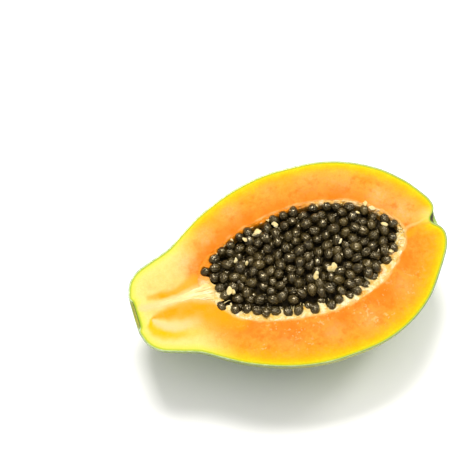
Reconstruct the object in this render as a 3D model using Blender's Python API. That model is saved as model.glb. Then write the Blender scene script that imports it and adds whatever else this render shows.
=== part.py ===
"""Half of a ripe papaya, cut lengthwise through the stem scar and the blossom end, with its seeds.

The half lies on its rounded back with the cut face up. Lengths are in metres, +Z is up and +X runs from
the stem end to the blossom end. The origin is on the surface that the fruit lies on, under the middle of
its outline.
"""

import math
import random

import bmesh
import bpy
from mathutils import Euler, Matrix, Vector, noise
from mathutils.bvhtree import BVHTree

MM = 0.001

# The whole fruit, turned about its length: (place along the length, half width of the cut face), in
# millimetres, from the dimple at the blossom end, over the belly and along the neck, to the stem's scar.
FRUIT_PROFILE = (
    (77.5, 0.0), (78.1, 1.5), (80.3, 3.7), (81.7, 6.0), (82.1, 8.6), (81.1, 12.8), (78.1, 18.4), (71.9, 27.0),
    (61.9, 37.6), (48.4, 46.1), (33.4, 51.2), (17.6, 52.9), (1.3, 52.7), (-16.2, 49.1), (-34.8, 41.8),
    (-46.5, 34.9), (-56.0, 28.9), (-65.8, 25.4), (-74.8, 21.9), (-79.9, 17.2), (-82.2, 11.5), (-82.6, 8.5),
    (-81.5, 6.5), (-81.3, 0.0),
)
CUT_HEIGHT = 49.5 * MM          # the cut face, above the flat spot that the half lies on
DEPTH_TO_WIDTH = 0.955          # the fruit is a little flatter than it is wide
LOBES = 5                       # a papaya is grown from five carpels
LOBE_SWELL = 0.012              # how far the five faint lobes stand out, as a share of the radius
BLOSSOM_SKEW = 0.055            # the near lobe reaches further past the dimple than the far one
SKEW_FROM, SKEW_TO = 72.0 * MM, 82.0 * MM
BLOSSOM_BEND = 3.0 * MM         # the dimple lies this far to the far side
BEND_RADIUS, BEND_LENGTH = 52.0 * MM, 50.0 * MM
FRUIT_AROUND, FRUIT_ALONG = 44, 40
RINGS_TO_ENDS = 0.6             # how much closer the rings lie at the ends, where the profile bends most

# The cavity, turned about the same length and cut at the same height, in millimetres.
CAVITY_PROFILE = (
    (62.5, 0.0), (61.1, 5.2), (57.3, 10.6), (52.2, 15.8), (41.4, 23.3), (26.5, 28.1), (10.5, 29.5),
    (-7.6, 27.3), (-17.8, 25.0), (-26.8, 21.6), (-34.9, 17.2), (-40.1, 12.6), (-44.3, 6.7), (-46.8, 0.0),
)
CAVITY_DEPTH_TO_WIDTH = 0.86
CAVITY_STAR = 0.07              # five shallow grooves run along the cavity's wall
CAVITY_OFFSET = 2.0 * MM        # the cavity lies a little to the far side
TIP_OFFSET = 3.8 * MM           # and its stem-side tip further still
TIP_FROM, TIP_TO = -30.0 * MM, -46.0 * MM
CAVITY_AROUND, CAVITY_ALONG = 24, 20

# The placenta, a pale pulp that lines the cavity and that the seeds grow from.
GAP = 0.35 * MM                 # between pieces that touch
PULP_THIN, PULP_THICK = 1.3 * MM, 3.4 * MM      # on the far side and on the near side
PULP_RAGGED = 0.7 * MM
PULP_GRAIN = 9.0 * MM           # size of the lumps on its inner side

# The seeds lie close together in staggered rows, each one moved, turned and sized by a seeded draw.
SEED_HALF_SIZES = (3.2 * MM, 2.75 * MM, 2.6 * MM)
SEED_SPREAD = 0.10              # seeds differ in size by up to this share
SEED_AROUND, SEED_ALONG = 6, 4
SEED_DRAW = 2                   # seeds the random generator
SEED_STEP, SEED_ROW = 5.7 * MM, 4.95 * MM       # along a row, and from row to row
SEED_ROWS_TURN = math.radians(17.0)
SEED_ROWS = 12                  # rows and steps on each side of the middle, more than the cavity holds
SEED_STRAY, SEED_STRAY_UP = 0.95 * MM, 0.9 * MM
SEED_FROM_WALL = 0.6 * MM       # the least left between a seed and the flesh
HEAP_AT_WALL, HEAP_AT_MIDDLE = -2.0 * MM, -0.5 * MM     # the upper centres, over the cut face
HEAP_RISE_WIDTH = 13.0 * MM
HEAP_ROUGHNESS = 1.3 * MM
HEAP_GRAIN = 11.0 * MM
# Hollows in the heap: (x, y, radius, depth)
HOLLOWS = (
    (27.0 * MM, 4.0 * MM, 6.5 * MM, 3.2 * MM),
    (-3.0 * MM, -9.0 * MM, 6.0 * MM, 2.6 * MM),
    (-22.0 * MM, 17.0 * MM, 9.0 * MM, 3.6 * MM),
)
CORE_BELOW_CENTRES = 1.9 * MM   # the core's top, below the centres of the upper seeds
MOUND_HALF_LENGTH, MOUND_STEPS = 70.0 * MM, 32  # the core's top is half as wide as it is long
SHARP_FROM = math.radians(40.0)


def smooth_step(low, high, value):
    """0 at low, 1 at high and an even bend between them. low may be the larger one."""
    share = min(1.0, max(0.0, (value - low) / (high - low)))
    return share * share * (3.0 - 2.0 * share)


def spline(points, share):
    """The point at a share, 0 to 1, of the chord length of the smooth curve through the points."""
    lengths = [0.0]
    for first, second in zip(points, points[1:]):
        lengths.append(lengths[-1] + math.dist(first, second))
    wanted = share * lengths[-1]
    i = max(k for k in range(len(points) - 1) if k == 0 or lengths[k] <= wanted)
    t = min(1.0, (wanted - lengths[i]) / (lengths[i + 1] - lengths[i]))
    before, after = max(i - 1, 0), min(i + 2, len(points) - 1)

    def slope(left, right):
        """Slope from one point to another, per unit of chord length."""
        span = lengths[right] - lengths[left]
        return [(b - a) / span for a, b in zip(points[left], points[right])]

    step = lengths[i + 1] - lengths[i]
    start_slope, end_slope = slope(before, i + 1), slope(i, after)
    made = []
    for a, b, m, n in zip(points[i], points[i + 1], start_slope, end_slope):
        made.append(
            (2 * t**3 - 3 * t**2 + 1) * a
            + (t**3 - 2 * t**2 + t) * step * m
            + (-2 * t**3 + 3 * t**2) * b
            + (t**3 - t**2) * step * n
        )
    return made


def closer_at_ends(share):
    return share - RINGS_TO_ENDS * math.sin(2 * math.pi * share) / (2 * math.pi)


def ball_moved(name, around, along, place):
    """An object from a UV sphere, each vertex moved to place(share along the length, angle about it)."""
    mesh = bpy.data.meshes.new(name)
    ball = bmesh.new()
    bmesh.ops.create_uvsphere(ball, u_segments=around, v_segments=along, radius=1.0)
    for vertex in ball.verts:
        share = math.acos(max(-1.0, min(1.0, vertex.co.z))) / math.pi
        vertex.co = place(share, math.atan2(vertex.co.y, vertex.co.x))
    bmesh.ops.recalc_face_normals(ball, faces=ball.faces)
    ball.to_mesh(mesh)
    ball.free()
    return bpy.data.objects.new(name, mesh)


def cut_off(obj, height, keep_below):
    """Cuts the object flat at a height, drops one side and closes the cut."""
    cut = bmesh.new()
    cut.from_mesh(obj.data)
    bmesh.ops.bisect_plane(
        cut,
        geom=[*cut.verts, *cut.edges, *cut.faces],
        dist=1e-6,
        plane_co=(0.0, 0.0, height),
        plane_no=(0.0, 0.0, 1.0),
        clear_outer=keep_below,
        clear_inner=not keep_below,
    )
    rim = [edge for edge in cut.edges if edge.is_boundary]
    closed = bmesh.ops.holes_fill(cut, edges=rim, sides=0)
    for face in closed["faces"]:
        face.material_index = 1 if keep_below else 0
    bmesh.ops.recalc_face_normals(cut, faces=cut.faces)
    cut.to_mesh(obj.data)
    cut.free()


def apply_boolean(obj, operation, other=None, collection=None, solver="EXACT"):
    """Joins or cuts obj with another object or with all of a collection, and applies the result."""
    modifier = obj.modifiers.new(operation, "BOOLEAN")
    modifier.operation = operation
    modifier.solver = solver
    if collection is None:
        modifier.object = other
    else:
        modifier.operand_type = "COLLECTION"
        modifier.collection = collection
    bpy.context.view_layer.update()
    evaluated = obj.evaluated_get(bpy.context.evaluated_depsgraph_get())
    made = bpy.data.meshes.new_from_object(evaluated)
    obj.modifiers.clear()
    obj.data = made


def keep_largest_shell(obj):
    """Fills the hollows that a Boolean sealed and drops loose scraps: only the largest shell stays."""
    whole = bmesh.new()
    whole.from_mesh(obj.data)
    left, shells = set(whole.faces), []
    while left:
        shell, edge_of_shell = set(), [left.pop()]
        while edge_of_shell:
            face = edge_of_shell.pop()
            shell.add(face)
            near = {other for edge in face.edges for other in edge.link_faces} & left
            left -= near
            edge_of_shell.extend(near)
        shells.append(shell)
    shells.sort(key=lambda shell: sum(face.calc_area() for face in shell))
    scraps = [face for shell in shells[:-1] for face in shell]
    bmesh.ops.delete(whole, geom=scraps, context="FACES")
    whole.to_mesh(obj.data)
    whole.free()


def material(name, colour, roughness):
    made = bpy.data.materials.new(name)
    made.use_nodes = True
    shader = made.node_tree.nodes["Principled BSDF"]
    shader.inputs["Base Color"].default_value = (*colour, 1.0)
    shader.inputs["Roughness"].default_value = roughness
    shader.inputs["Metallic"].default_value = 0.0
    return made


def cavity_centre(x):
    """How far the cavity's middle lies to the far side at a place along the length."""
    return CAVITY_OFFSET + TIP_OFFSET * smooth_step(TIP_FROM, TIP_TO, x)


def fruit_point(share, angle):
    x, radius = (value * MM for value in spline(FRUIT_PROFILE, closer_at_ends(share)))
    radius *= 1.0 + LOBE_SWELL * math.cos(LOBES * angle - math.pi / 2)
    y = radius * math.cos(angle)
    x -= BLOSSOM_SKEW * y * smooth_step(SKEW_FROM, SKEW_TO, x)
    y += BLOSSOM_BEND * smooth_step(BEND_RADIUS, 0.0, radius) * smooth_step(0.0, BEND_LENGTH, x)
    return Vector((x, y, CUT_HEIGHT + DEPTH_TO_WIDTH * radius * math.sin(angle)))


def cavity_point(share, angle, inset):
    """A point of the cavity's wall, or of a surface that lies inset inside it."""
    x, radius = (value * MM for value in spline(CAVITY_PROFILE, closer_at_ends(share)))
    blossom_tip, stem_tip = CAVITY_PROFILE[0][0] * MM, CAVITY_PROFILE[-1][0] * MM
    middle, half_length = (blossom_tip + stem_tip) / 2, (blossom_tip - stem_tip) / 2
    half_width = max(station[1] for station in CAVITY_PROFILE) * MM
    x = middle + (x - middle) * (1.0 - inset / half_length)
    radius *= 1.0 - inset / half_width
    radius *= 1.0 + CAVITY_STAR * math.cos(LOBES * angle - math.pi / 2) * abs(math.sin(angle))
    y = cavity_centre(x) + radius * math.cos(angle)
    return Vector((x, y, CUT_HEIGHT + CAVITY_DEPTH_TO_WIDTH * radius * math.sin(angle)))


def pulp_thickness(share, angle):
    """The placenta is thick on the near side and thin on the far side, and lumpy on the inside."""
    side = (1.0 - math.cos(angle)) / 2
    even = PULP_THIN + (PULP_THICK - PULP_THIN) * side
    lump = noise.noise(cavity_point(share, angle, 0.0) / PULP_GRAIN)
    return even + PULP_RAGGED * lump


def pulp_inside_point(share, angle, more=0.0):
    return cavity_point(share, angle, GAP + pulp_thickness(share, angle) + more)


def heap_height(x, y, wall):
    """Height of the uppermost seeds' centres over the cut face. wall is a tree of the cavity's faces."""
    from_wall = wall.find_nearest(Vector((x, y, CUT_HEIGHT)))[3]
    rise = smooth_step(0.0, HEAP_RISE_WIDTH, from_wall)
    height = HEAP_AT_WALL + (HEAP_AT_MIDDLE - HEAP_AT_WALL) * rise
    height += HEAP_ROUGHNESS * noise.noise(Vector((x, y, 0.0)) / HEAP_GRAIN)
    for hollow_x, hollow_y, radius, depth in HOLLOWS:
        height -= depth * smooth_step(radius, 0.0, math.hypot(x - hollow_x, y - hollow_y))
    return height


def has_room(centre, half_length, wall):
    """Whether a seed fits inside the cavity's wall there, however it is turned."""
    nearest, normal, _, distance = wall.find_nearest(centre)
    return (nearest - centre).dot(normal) > 0.0 and distance > half_length + SEED_FROM_WALL


def seed_places(wall):
    """Centre, turn and size of each seed that the cavity has room for."""
    draw = random.Random(SEED_DRAW)
    rows_turn = Matrix.Rotation(SEED_ROWS_TURN, 3, "Z")
    seeds = []
    for row in range(-SEED_ROWS, SEED_ROWS + 1):
        for step in range(-SEED_ROWS, SEED_ROWS + 1):
            place = rows_turn @ Vector((SEED_STEP * (step + 0.5 * (row % 2)), SEED_ROW * row, 0.0))
            stray = Vector([draw.uniform(-1.0, 1.0) for _ in range(3)])
            turn = Euler([draw.uniform(0.0, 2 * math.pi) for _ in range(3)])
            size = 1.0 + SEED_SPREAD * draw.uniform(-1.0, 1.0)
            x, y = place.x + SEED_STRAY * stray.x, place.y + SEED_STRAY * stray.y
            centre = Vector((x, y, CUT_HEIGHT + heap_height(x, y, wall) + SEED_STRAY_UP * stray.z))
            if has_room(centre, SEED_HALF_SIZES[0] * size, wall):
                seeds.append((centre, turn, size))
    return seeds


def join_seeds(obj, operation, seeds, grown=0.0):
    """Adds the seeds to obj, or cuts them from it, each an ellipsoid larger by grown on every side."""
    balls = bpy.data.collections.new(operation)
    helpers.children.link(balls)
    for centre, turn, size in seeds:
        mesh = bpy.data.meshes.new("seed")
        ball = bmesh.new()
        bmesh.ops.create_uvsphere(ball, u_segments=SEED_AROUND, v_segments=SEED_ALONG, radius=1.0)
        long_half, wide_half, thin_half = (half * size + grown for half in SEED_HALF_SIZES)
        bmesh.ops.scale(ball, vec=(wide_half, thin_half, long_half), verts=ball.verts)
        bmesh.ops.rotate(ball, cent=(0.0, 0.0, 0.0), matrix=turn.to_matrix(), verts=ball.verts)
        bmesh.ops.translate(ball, vec=centre, verts=ball.verts)
        ball.to_mesh(mesh)
        ball.free()
        balls.objects.link(bpy.data.objects.new("seed", mesh))
    apply_boolean(obj, operation, collection=balls, solver="MANIFOLD")
    for ball in list(balls.objects):
        bpy.data.objects.remove(ball)
    keep_largest_shell(obj)


def helper(obj):
    """Keeps a cutter out of the render."""
    helpers.objects.link(obj)
    obj.hide_render = True
    obj.display_type = "WIRE"
    return obj


def make_cavity():
    """The cutter for the hollow that the seeds lie in."""
    cavity = ball_moved("cavity", CAVITY_AROUND, CAVITY_ALONG, lambda s, a: cavity_point(s, a, 0.0))
    cavity.data.materials.append(material("papaya_flesh", (0.95, 0.42, 0.06), 0.45))
    return helper(cavity)


def make_fruit_half(cavity):
    """Skin and flesh, grown as one piece: cut flat on top, hollow inside, with a small flat spot below."""
    fruit = ball_moved("fruit_half", FRUIT_AROUND, FRUIT_ALONG, fruit_point)
    papaya.objects.link(fruit)
    fruit.data.materials.append(material("papaya_skin", (0.33, 0.52, 0.03), 0.35))
    fruit.data.materials.append(cavity.data.materials[0])
    cut_off(fruit, CUT_HEIGHT, keep_below=True)
    cut_off(fruit, 0.0, keep_below=False)
    apply_boolean(fruit, "DIFFERENCE", cavity)


def make_placenta(seeds):
    """The lining of pulp, with a socket for each seed that reaches it."""
    lining = ball_moved("placenta", CAVITY_AROUND, CAVITY_ALONG, lambda s, a: cavity_point(s, a, GAP))
    papaya.objects.link(lining)
    lining.data.materials.append(material("papaya_pulp", (0.93, 0.78, 0.42), 0.6))
    cut_off(lining, CUT_HEIGHT, keep_below=True)
    hollow = helper(ball_moved("lining_hollow", CAVITY_AROUND, CAVITY_ALONG, pulp_inside_point))
    apply_boolean(lining, "DIFFERENCE", hollow)
    join_seeds(lining, "DIFFERENCE", seeds, GAP)


def make_mound(wall):
    """The cutter that gives the core its top: the heap's surface, lowered, with straight sides."""
    mesh = bpy.data.meshes.new("mound")
    form = bmesh.new()
    bmesh.ops.create_grid(form, x_segments=MOUND_STEPS, y_segments=MOUND_STEPS // 2, size=MOUND_HALF_LENGTH)
    for vertex in form.verts:
        vertex.co.y /= 2
        vertex.co.z = CUT_HEIGHT + heap_height(vertex.co.x, vertex.co.y, wall) - CORE_BELOW_CENTRES
    for made in bmesh.ops.extrude_face_region(form, geom=form.faces)["geom"]:
        if isinstance(made, bmesh.types.BMVert):
            made.co.z = 0.0
    bmesh.ops.recalc_face_normals(form, faces=form.faces)
    form.to_mesh(mesh)
    form.free()
    return helper(bpy.data.objects.new("mound", mesh))


def make_seeds(seeds, mound):
    """The seeds, fused to a smaller core that they stand out of: the lining's inside, under the mound."""
    heap = ball_moved("seeds", CAVITY_AROUND, CAVITY_ALONG, lambda s, a: pulp_inside_point(s, a, GAP))
    papaya.objects.link(heap)
    heap.data.materials.append(material("papaya_seed", (0.045, 0.04, 0.02), 0.25))
    apply_boolean(heap, "INTERSECT", mound)
    join_seeds(heap, "UNION", seeds)


for old in list(bpy.data.objects):
    bpy.data.objects.remove(old)
papaya = bpy.data.collections.new("papaya_half")
helpers = bpy.data.collections.new("cutters")
bpy.context.scene.collection.children.link(papaya)
bpy.context.scene.collection.children.link(helpers)

cavity_form = make_cavity()
make_fruit_half(cavity_form)
faces = [polygon.vertices for polygon in cavity_form.data.polygons]
cavity_wall = BVHTree.FromPolygons([vertex.co for vertex in cavity_form.data.vertices], faces)
heap_of_seeds = seed_places(cavity_wall)
make_placenta(heap_of_seeds)
make_seeds(heap_of_seeds, make_mound(cavity_wall))

for piece in papaya.objects:
    piece.data.shade_smooth()
    piece.data.set_sharp_from_angle(angle=SHARP_FROM)
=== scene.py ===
"""Half of a ripe papaya with its seeds, on a pale surface.

Each section makes one piece of the fruit, from the peel inwards. Lengths are in metres, +Z is up and +X runs
from the stem end to the blossom end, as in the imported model.
"""

import math
import random

import bmesh
import bpy
from mathutils import Euler, Matrix, Vector, noise
from mathutils.bvhtree import BVHTree
from mathutils.kdtree import KDTree


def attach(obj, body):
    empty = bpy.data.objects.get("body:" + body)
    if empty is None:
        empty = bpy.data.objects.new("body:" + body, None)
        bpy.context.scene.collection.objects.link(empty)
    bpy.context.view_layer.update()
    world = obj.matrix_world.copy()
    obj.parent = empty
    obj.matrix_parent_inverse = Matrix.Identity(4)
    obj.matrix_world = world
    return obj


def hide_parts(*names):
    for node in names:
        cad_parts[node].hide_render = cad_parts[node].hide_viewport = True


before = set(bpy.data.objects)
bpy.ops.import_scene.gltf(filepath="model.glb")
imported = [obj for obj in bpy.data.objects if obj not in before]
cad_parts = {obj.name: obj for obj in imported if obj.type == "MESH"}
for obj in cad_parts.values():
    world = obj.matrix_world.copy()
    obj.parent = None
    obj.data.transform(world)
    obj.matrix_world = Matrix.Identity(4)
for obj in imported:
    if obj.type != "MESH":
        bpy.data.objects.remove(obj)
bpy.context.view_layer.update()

# Peel
# The thin, waxy skin of a ripe fruit, less than a millimetre thick and grown onto the flesh. It is turned
# about the fruit's length with five faint lobes, and the knife leaves its edge as a fine green line.
MM = 0.001
FRUIT_PROFILE = (
    (77.5, 0.0), (78.1, 1.5), (80.3, 3.7), (81.7, 6.0), (82.08, 8.6), (81.1, 12.8), (78.1, 18.4),
    (71.9, 27.0), (61.9, 37.6), (48.4, 46.1), (33.4, 51.2), (17.6, 52.88), (1.3, 52.7), (-16.2, 49.1),
    (-34.8, 41.8), (-46.5, 34.9), (-56.0, 28.9), (-65.8, 25.4), (-74.8, 21.9), (-79.9, 17.2),
    (-82.2, 11.5), (-82.6, 8.5), (-81.5, 6.5), (-81.3, 0.0),
)
CUT_HEIGHT = 49.5 * MM
DEPTH_TO_WIDTH = 0.955
LOBES = 5
LOBE_SWELL = 0.012
BLOSSOM_SKEW = 0.055            # the near lobe reaches further past the dimple than the far one
SKEW_FROM, SKEW_TO = 72.0 * MM, 82.0 * MM
BLOSSOM_BEND = 3.0 * MM         # the dimple lies this far to the far side
BEND_RADIUS, BEND_LENGTH = 52.0 * MM, 50.0 * MM
PEEL_THICKNESS = 0.8 * MM
NO_RADIUS = 1.0 * MM            # nearer to the axis than this, the peel's inner side closes to a point
PROFILE_STEPS = 400
RINGS_TO_ENDS = 0.6


def smooth_step(low, high, value):
    """0 at low, 1 at high and an even bend between them. low may be the larger one."""
    share = min(1.0, max(0.0, (value - low) / (high - low)))
    return share * share * (3.0 - 2.0 * share)


def spline(points, share):
    """The point at a share, 0 to 1, of the chord length of the smooth curve through the points."""
    lengths = [0.0]
    for first, second in zip(points, points[1:]):
        lengths.append(lengths[-1] + math.dist(first, second))
    wanted = share * lengths[-1]
    i = max(k for k in range(len(points) - 1) if k == 0 or lengths[k] <= wanted)
    t = min(1.0, (wanted - lengths[i]) / (lengths[i + 1] - lengths[i]))
    before, after = max(i - 1, 0), min(i + 2, len(points) - 1)

    def slope(left, right):
        """Slope from one point to another, per unit of chord length."""
        span = lengths[right] - lengths[left]
        return [(b - a) / span for a, b in zip(points[left], points[right])]

    step = lengths[i + 1] - lengths[i]
    start_slope, end_slope = slope(before, i + 1), slope(i, after)
    made = []
    for a, b, m, n in zip(points[i], points[i + 1], start_slope, end_slope):
        made.append(
            (2 * t**3 - 3 * t**2 + 1) * a
            + (t**3 - 2 * t**2 + t) * step * m
            + (-2 * t**3 + 3 * t**2) * b
            + (t**3 - t**2) * step * n
        )
    return made


def closer_at_ends(share):
    return share - RINGS_TO_ENDS * math.sin(2 * math.pi * share) / (2 * math.pi)


def picked(sockets, key):
    """A node's socket by its number, or by its name among those in use."""
    if isinstance(key, int):
        return sockets[key]
    return next(socket for socket in sockets if socket.name == key and socket.enabled)


def feed(socket, value):
    """Sets a socket to a plain value, or links another node's output to it."""
    if isinstance(value, Value):
        value.tree.links.new(value.socket, socket)
    else:
        socket.default_value = value


class Value:
    """An output of a node. Its signs and methods add the nodes that work something out from it."""

    def __init__(self, socket):
        self.socket = socket
        self.tree = socket.id_data

    def maths(self, operation, *others):
        return add(self.tree, "ShaderNodeMath", dict(enumerate((self, *others))), operation=operation)[0]

    def __add__(self, other):
        return self.maths("ADD", other)

    def __sub__(self, other):
        return self.maths("SUBTRACT", other)

    def __mul__(self, other):
        return self.maths("MULTIPLY", other)

    def __truediv__(self, other):
        return self.maths("DIVIDE", other)

    def at_least(self, other):
        return self.maths("MAXIMUM", other)

    def at_most(self, other):
        return self.maths("MINIMUM", other)

    def times_plus(self, factor, offset):
        return self.maths("MULTIPLY_ADD", factor, offset)

    def fade(self, low, high, first=0.0, last=1.0, bend="SMOOTHSTEP"):
        """The value first where this one is low, last where it is high, and a soft change between."""
        return add(self.tree, "ShaderNodeMapRange", {
            "Value": self, "From Min": low, "From Max": high, "To Min": first, "To Max": last,
        }, interpolation_type=bend)[0]

    def slope(self, low, high, first=0.0, last=1.0):
        """The same as fade, with an even change."""
        return self.fade(low, high, first, last, "LINEAR")

    def vector(self, operation, inputs=None, output=0):
        """A Vector Math node of this vector and other inputs."""
        inputs = {0: self, **(inputs or {})}
        return add(self.tree, "ShaderNodeVectorMath", inputs, operation=operation)[output]


class Node:
    """A node, whose outputs are read by name or by number."""

    def __init__(self, node):
        self.node = node

    def __getitem__(self, key):
        return Value(picked(self.node.outputs, key))


def add(tree, kind, inputs=None, **settings):
    """A new node. Each input is a plain value or another node's output, by its name or its number."""
    node = tree.nodes.new(kind)
    for name, value in settings.items():
        setattr(node, name, value)
    for key, value in (inputs or {}).items():
        feed(picked(node.inputs, key), value)
    return Node(node)


def parts(vector):
    """A node with the X, Y and Z of a vector."""
    return add(vector.tree, "ShaderNodeSeparateXYZ", {0: vector})


def joined_vector(tree, **values):
    return add(tree, "ShaderNodeCombineXYZ", values)[0]


def new_tree(name, kind, output, **inputs):
    """A node group with one output, (name, sort), and inputs named by sort, such as Float=("Scale",)."""
    tree = bpy.data.node_groups.new(name, kind)
    for sort, labels in inputs.items():
        for label in labels:
            tree.interface.new_socket(label, in_out="INPUT", socket_type="NodeSocket" + sort)
    tree.interface.new_socket(output[0], in_out="OUTPUT", socket_type="NodeSocket" + output[1])
    return tree, Node(tree.nodes.new("NodeGroupInput")), tree.nodes.new("NodeGroupOutput").inputs[0]


def shape_tree(name, **inputs):
    """A Geometry Nodes tree, which takes and gives a shape."""
    return new_tree(
        name, "GeometryNodeTree", ("Geometry", "Geometry"),
        Geometry=("Geometry",), Material=("Material",), **inputs,
    )


def end_shape(geometry, given, result):
    """Ends a Geometry Nodes tree with its material."""
    feed(result, add(geometry.tree, "GeometryNodeSetMaterial", {
        "Geometry": geometry, "Material": given["Material"],
    })[0])


def realized(instances):
    return add(instances.tree, "GeometryNodeRealizeInstances", {"Geometry": instances})[0]


def new_piece(name, mesh):
    piece = bpy.data.objects.new(name, mesh)
    bpy.context.scene.collection.objects.link(piece)
    return piece


def grow(piece, tree, values):
    """Runs a Geometry Nodes tree on a piece with these values for its named inputs, and keeps the result."""
    modifier = piece.modifiers.new(tree.name, "NODES")
    modifier.node_group = tree
    for item in tree.interface.items_tree:
        if item.item_type == "SOCKET" and item.in_out == "INPUT" and item.name in values:
            modifier[item.identifier] = values[item.name]
    bpy.context.view_layer.update()
    graph = bpy.context.evaluated_depsgraph_get()
    evaluated = piece.evaluated_get(graph)
    made = bpy.data.meshes.new_from_object(evaluated, preserve_all_data_layers=True, depsgraph=graph)
    if made.materials[0] is None:
        made.materials.pop(index=0)
    piece.modifiers.remove(modifier)
    piece.data = made


def turned_half_tree():
    """A hollow half body: a profile curve turned by half a turn about X, with lobes and a wall."""
    tree, given, result = shape_tree(
        "turned half", Object=("Profile",), Int=("Steps Along", "Steps Around"),
        Float=("Cut Height", "Depth to Width", "Lobes", "Lobe Swell", "Skew", "Skew From", "Skew To", "Bend",
               "Bend Radius", "Bend Length", "Wall", "Rings to Ends"),
    )
    columns = given["Steps Around"] * 2.0
    grid = add(tree, "GeometryNodeMeshGrid", {
        "Size X": 1.0, "Size Y": 1.0, "Vertices X": given["Steps Along"], "Vertices Y": columns + 1.0,
    })
    place = parts(add(tree, "GeometryNodeInputPosition")[0])
    share = place["X"] + 0.5
    # The columns run over the outer side, back over the inner side, and end where they began.
    column = ((place["Y"] + 0.5) * columns).maths("ROUND")
    turned = column.at_most(columns - 1.0 - column).at_least(0.0)
    on_way_back = column.maths("GREATER_THAN", given["Steps Around"] - 0.5)
    inner = on_way_back * column.maths("LESS_THAN", columns - 0.5)
    angle = turned / (given["Steps Around"] - 1.0) * -math.pi
    wave = (share * (2 * math.pi)).maths("SINE") / (2 * math.pi) * given["Rings to Ends"]
    profile = add(tree, "GeometryNodeObjectInfo", {"Object": given["Profile"]})["Geometry"]
    sample = add(tree, "GeometryNodeSampleCurve", {"Curves": profile, "Factor": share - wave}, mode="FACTOR")
    station, tangent = parts(sample["Position"]), parts(sample["Tangent"])
    inset = given["Wall"] * inner
    off_axis = (station["Y"] / NO_RADIUS).at_most(1.0)
    x = station["X"] - inset * tangent["Y"]
    radius = (station["Y"] + inset * tangent["X"] * off_axis).at_least(0.0)
    radius = radius * (angle * given["Lobes"]).maths("SINE").times_plus(given["Lobe Swell"], 1.0)
    y = radius * angle.maths("COSINE")
    depth = radius * given["Depth to Width"] * angle.maths("SINE")
    z = (given["Cut Height"] + depth).at_least(inset)
    x = x - given["Skew"] * x.fade(given["Skew From"], given["Skew To"]) * y
    y = y + given["Bend"] * (radius.fade(given["Bend Radius"], 0.0) * x.fade(0.0, given["Bend Length"]))
    kept = add(tree, "GeometryNodeStoreNamedAttribute", {
        "Geometry": grid["Mesh"], "Name": "inner", "Value": inner,
    }, data_type="FLOAT", domain="POINT")[0]
    moved = add(tree, "GeometryNodeSetPosition", {
        "Geometry": kept, "Position": joined_vector(tree, X=x, Y=y, Z=z),
    })[0]
    merged = add(tree, "GeometryNodeMergeByDistance", {"Geometry": moved, "Distance": 1e-6})[0]
    end_shape(realized(merged), given, result)
    return tree


def face_outwards(piece):
    """Closes doubles and turns the faces of a closed form outwards."""
    form = bmesh.new()
    form.from_mesh(piece.data)
    bmesh.ops.remove_doubles(form, verts=form.verts, dist=1e-6)
    bmesh.ops.recalc_face_normals(form, faces=form.faces)
    form.to_mesh(piece.data)
    form.free()


def mottle_group():
    """A soft mask of cloudy patches."""
    tree, given, result = new_tree(
        "mottle", "ShaderNodeTree", ("Mask", "Float"),
        Vector=("Vector",), Float=("Scale", "Detail", "Low", "High"),
    )
    cloud = add(tree, "ShaderNodeTexNoise", {
        "Vector": given["Vector"], "Scale": given["Scale"], "Detail": given["Detail"], "Roughness": 0.6,
    })
    feed(result, cloud["Fac"].fade(given["Low"], given["High"]))
    return tree


def fleck_group():
    """A mask of small round flecks, in only some of the cells that they could lie in."""
    tree, given, result = new_tree(
        "flecks", "ShaderNodeTree", ("Mask", "Float"),
        Vector=("Vector",), Float=("Scale", "Radius", "Chance"),
    )
    cells = add(tree, "ShaderNodeTexVoronoi", {"Vector": given["Vector"], "Scale": given["Scale"]})
    spot = cells["Distance"].fade(given["Radius"], given["Radius"] * 0.4)
    pick = add(tree, "ShaderNodeSeparateColor", {0: cells["Color"]})[0]
    feed(result, spot * pick.maths("LESS_THAN", given["Chance"]))
    return tree


MOTTLE = mottle_group()
FLECKS = fleck_group()


def mottle(vector, scale, low, high, detail):
    """The mask of a mottle group, as fine as scale says, in patches per metre."""
    return add(vector.tree, "ShaderNodeGroup", {
        "Vector": vector, "Scale": scale, "Detail": detail, "Low": low, "High": high,
    }, node_tree=MOTTLE)[0]


def flecks(vector, scale, radius, chance):
    return add(vector.tree, "ShaderNodeGroup", {
        "Vector": vector, "Scale": scale, "Radius": radius, "Chance": chance,
    }, node_tree=FLECKS)[0]


def blend(share, first, second):
    """A colour between two, each a plain colour or a value."""
    colours = [(*colour, 1.0) if isinstance(colour, tuple) else colour for colour in (first, second)]
    return add(share.tree, "ShaderNodeMix", {0: share, 6: colours[0], 7: colours[1]}, data_type="RGBA")[2]


def ramp(share, *stops):
    """A Color Ramp node's colour. Each stop is (place, colour)."""
    made = add(share.tree, "ShaderNodeValToRGB", {0: share})
    band = made.node.color_ramp
    while len(band.elements) < len(stops):
        band.elements.new(0.5)
    for element, (at, colour) in zip(band.elements, stops):
        element.position = at
        element.color = (*colour, 1.0)
    return made[0]


def attribute(tree, name, output="Fac"):
    return add(tree, "ShaderNodeAttribute", attribute_name=name)[output]


def new_material(name, **constants):
    """A material with a Principled BSDF, whose plain values are set on its own sockets."""
    made = bpy.data.materials.new(name)
    made.use_nodes = True
    shader = made.node_tree.nodes["Principled BSDF"]
    for label, value in constants.items():
        shader.inputs[label.replace("_", " ")].default_value = value
    return made, made.node_tree, shader


def connect(shader, **values):
    for label, value in values.items():
        feed(shader.inputs[label.replace("_", " ")], value)


def bump(height, distance, strength):
    return add(height.tree, "ShaderNodeBump", {
        "Height": height, "Distance": distance, "Strength": strength,
    })[0]


def coordinates(tree, along=1.0):
    """Object coordinates, stretched along X where along is small."""
    here = add(tree, "ShaderNodeTexCoord")["Object"]
    return add(tree, "ShaderNodeMapping", {"Vector": here, "Scale": (along, 1.0, 1.0)})[0]


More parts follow.
